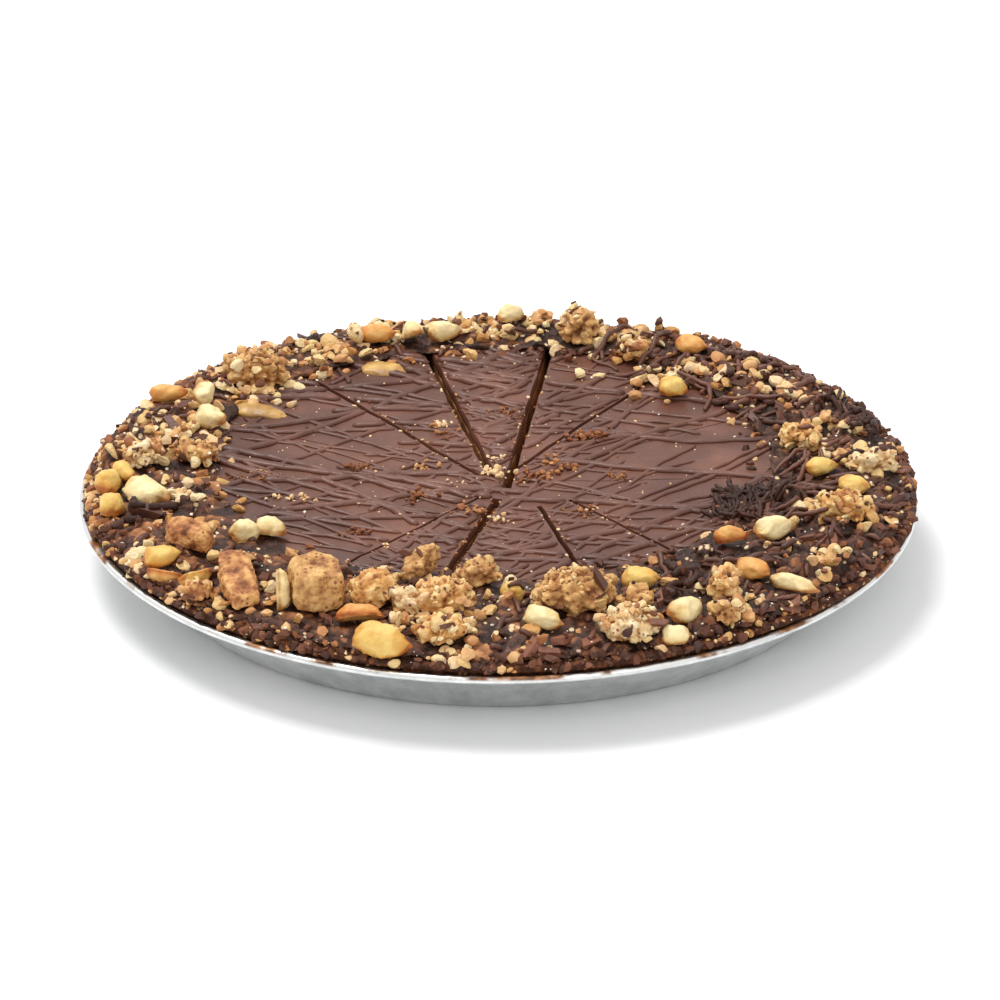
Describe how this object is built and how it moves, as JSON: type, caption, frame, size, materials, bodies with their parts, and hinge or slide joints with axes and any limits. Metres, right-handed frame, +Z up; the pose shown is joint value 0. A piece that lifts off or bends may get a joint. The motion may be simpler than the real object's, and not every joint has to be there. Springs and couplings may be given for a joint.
{
  "type": "chocolate peanut pie",
  "caption": "Round chocolate pie in a foil pan, cut into wedges that lie together, with a crumb crust, peanut butter filling, drizzled chocolate top and a border of nuts and candy pieces.",
  "frame": {"origin": "centre of the pan's flat underside, on the surface it stands on", "axes": "+Z up out of the pie, -Y towards the side with the largest candy chunks"},
  "size_m": [0.2536, 0.254, 0.0415],
  "materials": {
    "foil": "satin pressed foil with a bright rolled rim",
    "crust": "baked chocolate crumb, rough",
    "filling": "soft set cream",
    "chocolate": "satin chocolate with thin raised drizzle",
    "border": "nut and candy bits in chocolate, rough",
    "candy_chunk": "crumbly roasted candy",
    "peanut": "roasted nut, slightly oily"
  },
  "bodies": {
    "root": {"foil_pan": "foil", "crumb_crust": "crust", "peanut_butter_filling": "filling", "chocolate_top": "chocolate", "nut_border": "border", "chunk_block_front": "candy_chunk", "chunk_cluster_front": "candy_chunk", "chunk_long_left": "candy_chunk", "chunk_brown_left": "candy_chunk", "chunk_back_left": "candy_chunk", "chunk_low_front": "candy_chunk", "chunk_middle_front": "candy_chunk", "chunk_cream_right": "candy_chunk", "chunk_cream_front": "candy_chunk", "chunk_inner_front": "candy_chunk", "chunk_bar_front": "candy_chunk", "chunk_gold_front": "candy_chunk", "chunk_gold_right": "candy_chunk", "chunk_low_right": "candy_chunk", "chunk_inner_right": "candy_chunk", "chunk_slab_right": "candy_chunk", "chunk_flat_right": "candy_chunk", "chunk_far_right": "candy_chunk", "chunk_back_top": "candy_chunk", "chunk_back_right": "candy_chunk", "chunk_sandy_left": "candy_chunk", "chunk_crumbly_left": "candy_chunk", "chunk_speckled_left": "candy_chunk", "peanut_01": "peanut", "peanut_02": "peanut", "peanut_03": "peanut", "peanut_04": "peanut", "peanut_05": "peanut", "peanut_06": "peanut", "peanut_07": "peanut", "peanut_08": "peanut", "peanut_09": "peanut", "peanut_10": "peanut", "peanut_11": "peanut", "peanut_12": "peanut", "peanut_13": "peanut", "peanut_14": "peanut", "peanut_15": "peanut", "peanut_16": "peanut", "peanut_17": "peanut", "peanut_18": "peanut", "peanut_19": "peanut", "peanut_20": "peanut", "peanut_21": "peanut", "peanut_22": "peanut", "peanut_23": "peanut", "peanut_24": "peanut", "peanut_25": "peanut", "peanut_26": "peanut", "peanut_27": "peanut", "peanut_28": "peanut", "peanut_29": "peanut", "peanut_30": "peanut", "peanut_31": "peanut", "peanut_32": "peanut"}
  },
  "joints": []
}
